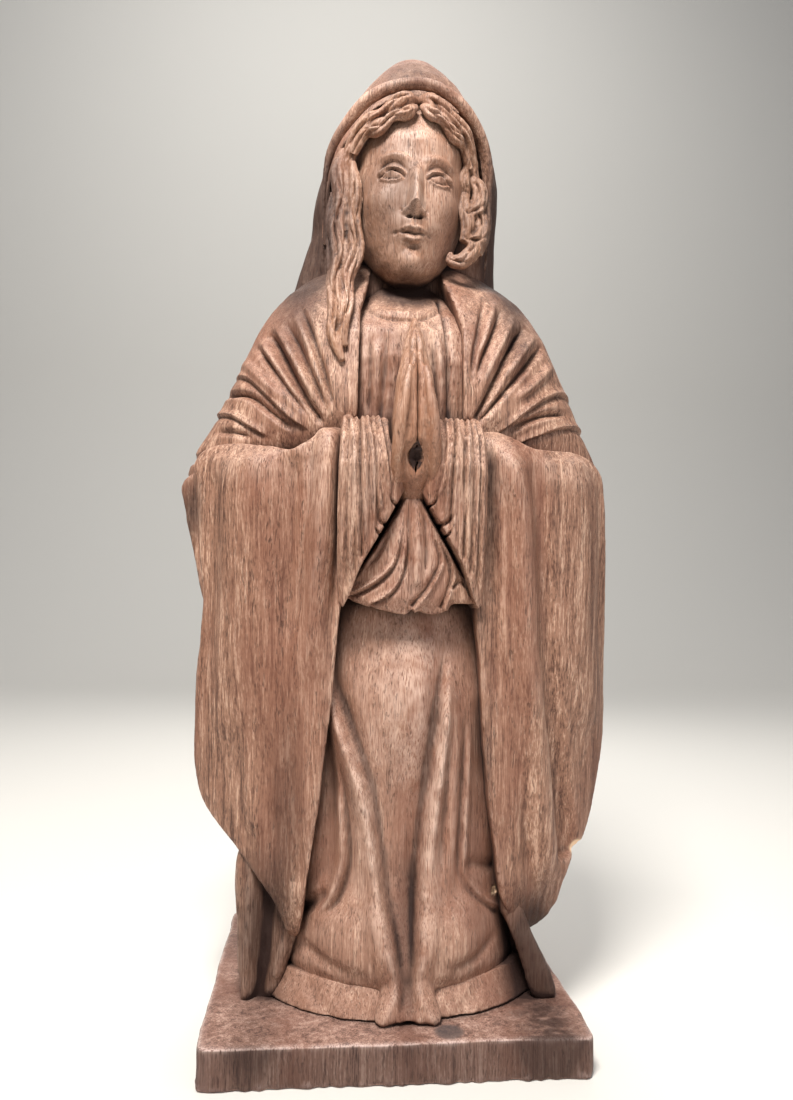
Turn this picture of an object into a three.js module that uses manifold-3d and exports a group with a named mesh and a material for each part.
// A carved and stained wooden Madonna: a standing figure with joined hands, a hooded mantle and two long
// hanging sleeves, on a low square plinth. Millimetres, +Z up, the figure faces -Y, and the origin is at
// the middle of the plinth's underside. Left and right are the figure's own, so its left side is +X.
//
// Each part of the carving is its own closed solid. The forms are made in order, and each one is cut back
// from every form made before it, with JOINT_GAP between the faces that meet.
import * as THREE from "three";
import { mergeVertices } from "three/addons/utils/BufferGeometryUtils.js";
import Module from "manifold-3d";

const wasm = await Module();
wasm.setup();

// ---- Driving dimensions ----------------------------------------------------------------------------

const JOINT_GAP = 0.3;
const PLINTH = { width: 96, depth: 88, height: 10, corner: 6, eased: 1 };
const FIGURE_X = 2.5; // the figure stands a little to its left of the plinth's middle
const HEM_Z = 17; // underside of the skirt's own hem, above the underskirt
const WAIST_Z = 114; // where the gathered blouse meets the skirt
const FOREARM_Z = 160; // top of the sleeves over the forearms
const COLLAR_Z = 196;
const CHIN_Z = 207;
const SHOULDER_Z = 215;
const CROWN_Z = 281; // top of the head under the hood
const TOP_Z = 288; // peak of the hood
const ELBOW_SPAN = 62; // from the centre line to the outside of an elbow

const MITRE_LIMIT = 0.3; // a sharp edge's vertices travel at most 1 / MITRE_LIMIT times the gap
const SEGMENTS = 22; // facets round a loft
const FINE = 14; // facets round a small piece
const SIDES = { right: -1, left: 1 };

const STAINED_WOOD = { color: 0x8a6450, roughness: 0.62, metalness: 0 };
const SMOOTH_WOOD = { color: 0x936c57, roughness: 0.5, metalness: 0 };
const PLINTH_WOOD = { color: 0x7d5b4a, roughness: 0.68, metalness: 0 };

// ---- Tools -----------------------------------------------------------------------------------------

/** A closed three.js geometry as a manifold-3d solid. */
function solidOf(geometry) {
  const bare = geometry.clone();
  bare.deleteAttribute("normal");
  bare.deleteAttribute("uv");
  const merged = mergeVertices(bare, 1e-3);
  return new wasm.Manifold(
    new wasm.Mesh({
      numProp: 3,
      vertProperties: new Float32Array(merged.attributes.position.array),
      triVerts: new Uint32Array(merged.index.array),
    }),
  );
}

/** A manifold-3d solid as a three.js geometry. */
function geometryOf(solid) {
  const mesh = solid.getMesh();
  const positions = new Float32Array(mesh.numVert * 3);
  for (let i = 0; i < mesh.numVert; i++) {
    positions.set(mesh.vertProperties.subarray(i * mesh.numProp, i * mesh.numProp + 3), i * 3);
  }
  const geometry = new THREE.BufferGeometry();
  geometry.setAttribute("position", new THREE.BufferAttribute(positions, 3));
  geometry.setIndex(new THREE.BufferAttribute(new Uint32Array(mesh.triVerts), 1));
  geometry.computeVertexNormals();
  return geometry;
}

/** The same form with every face moved outwards by a distance, used to cut its neighbours back from it. */
function grown(geometry, distance) {
  const bare = geometry.clone();
  bare.deleteAttribute("normal");
  bare.deleteAttribute("uv");
  const merged = mergeVertices(bare, 1e-3);
  merged.computeVertexNormals();
  const { position, normal } = merged.attributes;
  const corners = merged.index.array;
  const vertexAt = (index) => new THREE.Vector3().fromBufferAttribute(position, index);
  const normalAt = (index) => new THREE.Vector3().fromBufferAttribute(normal, index);
  const stretch = new Array(position.count).fill(1); // an edge's vertices travel further than its faces
  for (let i = 0; i < corners.length; i += 3) {
    const face = [corners[i], corners[i + 1], corners[i + 2]];
    const flat = new THREE.Triangle(...face.map(vertexAt)).getNormal(new THREE.Vector3());
    for (const index of face) {
      const facing = Math.max(flat.dot(normalAt(index)), MITRE_LIMIT);
      stretch[index] = Math.max(stretch[index], 1 / facing);
    }
  }
  for (let i = 0; i < position.count; i++) {
    const moved = vertexAt(i).addScaledVector(normalAt(i), distance * stretch[i]);
    position.setXYZ(i, moved.x, moved.y, moved.z);
  }
  return solidOf(merged);
}

/** A unit circle's point pushed out towards a square as the power rises above 2. */
function superellipse(cosine, sine, power) {
  const reach = (value) => Math.sign(value) * Math.abs(value) ** (2 / power);
  return [reach(cosine), reach(sine)];
}

/**
 * A closed body through level rings, bottom to top. A ring is [z, x, y, width, front, back, turn]: the
 * height, the middle, half the width, how far it reaches to the front and back, and degrees about Z.
 */
function loft(rings, { segments = SEGMENTS, steps = 1, power = 2 } = {}) {
  const full = rings.map((ring) => [...ring, ...Array(7 - ring.length).fill(0)]);
  const between = new THREE.CubicInterpolant(
    full.map((_, index) => index),
    full.flat(),
    7,
    new Float32Array(7),
  );
  const levels = (rings.length - 1) * steps;
  const geometry = new THREE.CylinderGeometry(1, 1, 1, segments, levels);
  const { position } = geometry.attributes;
  for (let i = 0; i < position.count; i++) {
    const level = (position.getY(i) + 0.5) * (rings.length - 1);
    const [z, x, y, width, front, back, turn] = between.evaluate(level);
    const [across, deep] = superellipse(position.getX(i), -position.getZ(i), power);
    const angle = THREE.MathUtils.degToRad(turn);
    const alongX = across * width;
    const alongY = deep * (deep < 0 ? front : back);
    position.setXYZ(
      i,
      x + alongX * Math.cos(angle) - alongY * Math.sin(angle),
      y + alongX * Math.sin(angle) + alongY * Math.cos(angle),
      z,
    );
  }
  return geometry;
}

/** A tapering lock or finger along points [x, y, z], with a radius at each, flattened by a factor. */
function lock(points, radii, flat = 1, segments = 8, steps = 2) {
  const curve = new THREE.CatmullRomCurve3(points.map((point) => new THREE.Vector3(...point)));
  const levels = (points.length - 1) * steps;
  const frames = curve.computeFrenetFrames(levels, false);
  const radiusAt = new THREE.LinearInterpolant(
    radii.map((_, index) => index / (radii.length - 1)),
    radii,
    1,
    new Float32Array(1),
  );
  const geometry = new THREE.CylinderGeometry(1, 1, 1, segments, levels);
  const { position } = geometry.attributes;
  for (let i = 0; i < position.count; i++) {
    const along = position.getY(i) + 0.5;
    const frame = Math.round(along * levels);
    const radius = radiusAt.evaluate(along)[0];
    const place = curve.getPoint(along);
    place.addScaledVector(frames.normals[frame], position.getX(i) * radius);
    place.addScaledVector(frames.binormals[frame], -position.getZ(i) * radius * flat);
    position.setXYZ(i, place.x, place.y, place.z);
  }
  return geometry;
}

/** A front outline [x, z] sawn straight through the block, from a front to a back depth. */
function sawn(outline, front, back) {
  const shape = new THREE.Shape(outline.map(([x, z]) => new THREE.Vector2(x, z)));
  const geometry = new THREE.ExtrudeGeometry(shape, { depth: back - front, bevelEnabled: false });
  geometry.rotateX(Math.PI / 2);
  geometry.translate(0, back, 0);
  return geometry;
}

/** What two geometries share. */
function shared(first, second) {
  return geometryOf(solidOf(first).intersect(solidOf(second)));
}

// ---- The parts, each as a form that may still run into its neighbours --------------------------------

function plinth() {
  const { width, depth, height, corner, eased } = PLINTH;
  const halfX = width / 2 - eased;
  const halfY = depth / 2 - eased;
  const shape = new THREE.Shape();
  shape.moveTo(-halfX + corner, -halfY);
  shape.lineTo(halfX - corner, -halfY);
  shape.absarc(halfX - corner, -halfY + corner, corner, -Math.PI / 2, 0);
  shape.absarc(halfX - corner, halfY - corner, corner, 0, Math.PI / 2);
  shape.absarc(-halfX + corner, halfY - corner, corner, Math.PI / 2, Math.PI);
  shape.absarc(-halfX + corner, -halfY + corner, corner, Math.PI, Math.PI * 1.5);
  const geometry = new THREE.ExtrudeGeometry(shape, {
    depth: height - 2 * eased,
    bevelThickness: eased,
    bevelSize: eased,
    bevelSegments: 2,
    curveSegments: 4,
  });
  geometry.translate(0, 0, eased);
  return geometry;
}

/** One half of the underskirt: a low band that shows under the hem and stops short of the middle. */
function underskirt(side) {
  const base = PLINTH.height + JOINT_GAP;
  const x = FIGURE_X + side * 19;
  const turn = side * 20;
  return loft(
    [
      [base, x, -19, 18, 12.5, 10, turn],
      [base + 2.5, x, -19, 17.6, 12, 10, turn],
      [HEM_Z - JOINT_GAP, x, -19, 16.6, 10.6, 9, turn],
    ],
    { power: 2.6, segments: FINE },
  );
}

/** The skirt, flaring from the waist to a hem that overhangs the underskirt. */
function skirt() {
  const base = PLINTH.height + JOINT_GAP;
  return loft([
    [base, FIGURE_X, 0, 25, 20, 24],
    [HEM_Z - 1, FIGURE_X, 0, 27, 24, 25],
    [HEM_Z, FIGURE_X, 0, 33, 33, 27],
    [30, FIGURE_X, 0, 31, 31, 27],
    [58, FIGURE_X, 0, 28, 29, 26],
    [90, FIGURE_X, 0, 26, 27, 24],
    [WAIST_Z, FIGURE_X, 0, 24, 25, 22],
    [WAIST_Z + 14, FIGURE_X, 0, 19, 17, 18],
  ]);
}

/** One of the joined hands: palm, fingers pointing up, and the wrist inside the cuff. */
function hand(side) {
  const x = FIGURE_X + side * 3.2;
  return loft(
    [
      [146, x + side * 3.2, -31, 3.6, 6, 6],
      [152, x + side * 1.6, -33, 3.9, 7, 7],
      [162, x, -34, 3.1, 7, 8],
      [172, x - side * 0.6, -33, 2.6, 6.2, 8],
      [182, x - side * 1.1, -30, 2.1, 5, 7],
      [191, x - side * 1.5, -26.5, 1.3, 3, 5],
    ],
    { segments: FINE },
  );
}

/** The tight inner sleeve round one wrist, cut to a slant below. */
function cuff(side) {
  const outline = [
    [FIGURE_X + side * 18.5, FOREARM_Z + 1],
    [FIGURE_X + side * 7, FOREARM_Z],
    [FIGURE_X + side * 5.5, 150],
    [FIGURE_X + side * 5, 139],
    [FIGURE_X + side * 18.5, 115],
  ];
  const x = FIGURE_X + side * 13;
  const body = loft(
    [
      [110, x, -24, 11, 9, 14, side * 12],
      [130, x, -26, 11, 11, 14, side * 12],
      [150, x, -27, 11, 12, 14, side * 12],
      [158, x, -26, 10, 10, 14, side * 12],
      [163, x, -22, 6, 4, 9, side * 12],
    ],
    { power: 2.3, segments: FINE },
  );
  const sawnOutline = side < 0 ? outline : outline.reverse();
  return shared(sawn(sawnOutline, -60, 20), body);
}

/** The gathered cloth of the blouse that hangs between the sleeves and over the skirt's top. */
function blouseFall() {
  const outline = [
    [FIGURE_X, 148],
    [FIGURE_X - 19, 117],
    [FIGURE_X - 12, 113],
    [FIGURE_X, 111],
    [FIGURE_X + 10, 113],
    [FIGURE_X + 19, 117],
  ];
  const body = loft([
    [108, FIGURE_X, -8, 24, 20, 8],
    [116, FIGURE_X, -8, 24, 22, 8],
    [130, FIGURE_X, -8, 22, 17, 8],
    [152, FIGURE_X, -8, 18, 14, 8],
  ]);
  return shared(sawn(outline, -60, 10), body);
}

/** The wide outer sleeve that hangs from one forearm, sawn to its outline from the front. */
function hangingSleeve(side, outline) {
  const x = FIGURE_X + side * 38;
  const turn = side * 33;
  const body = loft(
    [
      [22, x, -11, 26, 9, 10, turn],
      [60, x, -11, 28, 11, 14, turn],
      [110, x, -11, 29, 13, 17, turn],
      [145, x, -12, 30, 15, 18, turn],
      [156, x, -11, 28, 13, 17, turn],
      [163, x, -10, 24, 7, 12, turn],
    ],
    { power: 2.5 },
  );
  return shared(sawn(outline, -60, 40), body);
}

function rightSleeve() {
  return hangingSleeve(SIDES.right, [
    [-24, 34],
    [-20, 68],
    [-17, 104],
    [-15.5, 124],
    [-15.5, 161],
    [-23, 161.5],
    [-34, 156],
    [-45, 158.5],
    [-56, 157],
    [-60, 150],
    [-54, 124],
    [-53.5, 107],
    [-55, 84],
    [-54, 66],
    [-50, 57],
    [-40, 47],
    [-31, 36],
    [-27, 28],
  ]);
}

function leftSleeve() {
  return hangingSleeve(SIDES.left, [
    [29, 36],
    [36, 26],
    [44, 30],
    [50, 38],
    [56, 50],
    [60, 60],
    [63, 78],
    [64, 100],
    [62, 134],
    [61, 150],
    [57, 157],
    [46, 158.5],
    [33, 161],
    [20.5, 161],
    [20.5, 117],
    [22, 88],
    [24, 66],
    [26, 48],
  ]);
}

/** The head: an oval face with a plain nose, leaning a little to its left at the crown. */
function head() {
  const skull = loft([
    [CHIN_Z, 2, -17, 3.5, 3.5, 4],
    [CHIN_Z + 6, 2, -14, 9, 9, 11],
    [219, 2.4, -10, 13, 14.5, 14],
    [232, 2.8, -8, 15.5, 17.5, 17],
    [247, 3.4, -7, 16, 17.5, 18],
    [261, 4, -6, 14.5, 15, 18],
    [273, 4.4, -4, 10.5, 10, 14],
    [CROWN_Z, 4.6, -3, 4, 4, 6],
  ]);
  const nose = lock(
    [
      [2.9, -24, 236],
      [2.7, -26.5, 229],
      [2.5, -28, 224],
      [2.4, -24, 221],
    ],
    [1, 1.5, 2.2, 1.2],
  );
  return geometryOf(solidOf(skull).add(solidOf(nose)));
}

function neck() {
  return loft(
    [
      [190, FIGURE_X, -5, 13, 12, 11],
      [200, FIGURE_X, -5, 11, 10, 10],
      [212, FIGURE_X, -4, 9.5, 9, 9.5],
      [224, FIGURE_X, -3, 10, 9, 11],
    ],
    { segments: FINE },
  );
}

/** A wave of hair that leaves the parting and sweeps across one side of the forehead. */
function fringe(side) {
  return lock(
    [
      [4.5, -19.5, 262],
      [4.5 + side * 5, -21.5, 259],
      [4 + side * 11, -19, 253],
      [3.5 + side * 15.5, -14.5, 246],
      [3 + side * 17, -11, 238],
    ],
    [2, 3.6, 3.9, 3.4, 2.2],
    0.9,
  );
}

/** The long wavy lock that falls in front of the right shoulder on to the chest. */
function longLock() {
  return lock(
    [
      [-14, -11.5, 240],
      [-15.5, -14, 230],
      [-16.5, -16, 220],
      [-14.5, -18.5, 208],
      [-14, -21.5, 196],
      [-15.5, -24, 186],
      [-16, -25, 179],
    ],
    [3.2, 4.2, 4.4, 4.2, 3.6, 3, 2],
    0.8,
  );
}

/** The bunched curls beside the left cheek. */
function sideCurls() {
  return lock(
    [
      [20.5, -11, 240],
      [22.5, -13, 231],
      [22.5, -14, 222],
      [19.5, -15, 215],
      [16.5, -15.5, 212],
    ],
    [3.4, 4.4, 4.6, 3.6, 2],
    0.9,
  );
}

/** The blouse over the chest, between the two edges of the mantle. */
function bodice() {
  return loft([
    [118, FIGURE_X, 0, 19, 16, 16],
    [140, FIGURE_X, 0, 22, 21, 18],
    [165, FIGURE_X, 0, 24, 24, 18],
    [182, FIGURE_X, 0, 24, 24.5, 17],
    [COLLAR_Z, FIGURE_X, 0, 20, 21, 16],
    [207, FIGURE_X, 0, 14, 15, 13],
  ]);
}

/** The mantle over one shoulder and upper arm, down to the elbow. */
function shoulderMantle(side) {
  const edge = FIGURE_X + side * 15;
  const reach = FIGURE_X + side * (ELBOW_SPAN + 10);
  const left = Math.min(edge, reach);
  const right = Math.max(edge, reach);
  const body = loft([
    [134, FIGURE_X, 2, 52, 12, 20],
    [146, FIGURE_X, 2, 60, 18, 24],
    [154, FIGURE_X, 1, ELBOW_SPAN, 25, 26],
    [166, FIGURE_X, 0, 54, 29, 27],
    [180, FIGURE_X, 0, 49, 28, 26],
    [194, FIGURE_X, 0, 43, 25, 24],
    [206, FIGURE_X, 0, 35, 19, 20],
    [SHOULDER_Z, FIGURE_X, 1, 25, 12, 15],
    [SHOULDER_Z + 2, FIGURE_X, 1, 16, 8, 10],
  ]);
  const half = [
    [left, 125],
    [right, 125],
    [right, 225],
    [left, 225],
  ];
  return shared(sawn(half, -50, 60), body);
}

/** The hood: a peaked shell open in front of the face. */
function hood() {
  const shell = loft([
    [204, FIGURE_X - 1.5, 6, 31, 12, 24],
    [214, FIGURE_X - 0.5, 6, 30, 14, 24],
    [228, FIGURE_X + 0.5, 4, 29, 18, 25],
    [244, FIGURE_X + 1.5, 2, 29, 20, 26],
    [258, FIGURE_X + 2, 1, 26.5, 21, 25],
    [270, FIGURE_X + 2.5, 1, 20, 19.5, 21],
    [280, FIGURE_X + 2.5, 2, 12, 12, 14],
    [TOP_Z, FIGURE_X + 2.5, 3, 3.5, 3.5, 4],
  ]);
  const opening = [
    [-17, 190],
    [23, 190],
    [25, 215],
    [26, 238],
    [23, 254],
    [16, 262],
    [5, 265],
    [-6, 262],
    [-14, 254],
    [-19, 238],
    [-18, 215],
  ];
  return geometryOf(solidOf(shell).subtract(solidOf(sawn(opening, -60, -6))));
}

/** The back of the mantle, from the neck to the plinth, wrapping round the skirt's sides. */
function mantleBack() {
  const base = PLINTH.height + JOINT_GAP;
  return loft([
    [base, FIGURE_X, 2, 42, 24, 36],
    [24, FIGURE_X, 2, 41, 21, 36],
    [50, FIGURE_X, 2, 40, 18, 35],
    [90, FIGURE_X, 2, 42, 16, 33],
    [130, FIGURE_X, 2, 50, 14, 31],
    [150, FIGURE_X, 2, 58, 12, 29],
    [175, FIGURE_X, 2, 48, 10, 28],
    [200, FIGURE_X, 2, 37, 8, 25],
    [212, FIGURE_X, 2, 29, 6, 22],
  ]);
}

// ---- The assembly -----------------------------------------------------------------------------------

const forms = [
  ["plinth", plinth(), PLINTH_WOOD],
  ["underskirt_right", underskirt(SIDES.right), STAINED_WOOD],
  ["underskirt_left", underskirt(SIDES.left), STAINED_WOOD],
  ["skirt", skirt(), STAINED_WOOD],
  ["hand_right", hand(SIDES.right), SMOOTH_WOOD],
  ["hand_left", hand(SIDES.left), SMOOTH_WOOD],
  ["cuff_right", cuff(SIDES.right), STAINED_WOOD],
  ["cuff_left", cuff(SIDES.left), STAINED_WOOD],
  ["blouse_fall", blouseFall(), STAINED_WOOD],
  ["sleeve_right", rightSleeve(), STAINED_WOOD],
  ["sleeve_left", leftSleeve(), STAINED_WOOD],
  ["head", head(), SMOOTH_WOOD],
  ["hair_fringe_right", fringe(SIDES.right), STAINED_WOOD],
  ["hair_fringe_left", fringe(SIDES.left), STAINED_WOOD],
  ["hair_long_lock", longLock(), STAINED_WOOD],
  ["hair_side_curls", sideCurls(), STAINED_WOOD],
  ["neck", neck(), SMOOTH_WOOD],
  ["bodice", bodice(), STAINED_WOOD],
  ["mantle_shoulder_right", shoulderMantle(SIDES.right), STAINED_WOOD],
  ["mantle_shoulder_left", shoulderMantle(SIDES.left), STAINED_WOOD],
  ["hood", hood(), STAINED_WOOD],
  ["mantle_back", mantleBack(), STAINED_WOOD],
];

/** The form with every earlier form cut away, and only its largest body kept. */
function fitted(geometry, earlier) {
  let solid = solidOf(geometry);
  for (const cutter of earlier) {
    solid = solid.subtract(cutter);
  }
  const bodies = solid.decompose();
  return bodies.reduce((most, body) => (body.volume() > most.volume() ? body : most));
}

const madonna = new THREE.Group();
const cutters = [];
for (const [name, geometry, finish] of forms) {
  const fittedGeometry = geometryOf(fitted(geometry, cutters));
  cutters.push(grown(geometry, JOINT_GAP), solidOf(geometry));
  const mesh = new THREE.Mesh(fittedGeometry, new THREE.MeshStandardMaterial(finish));
  mesh.name = name;
  madonna.add(mesh);
}

export default madonna;
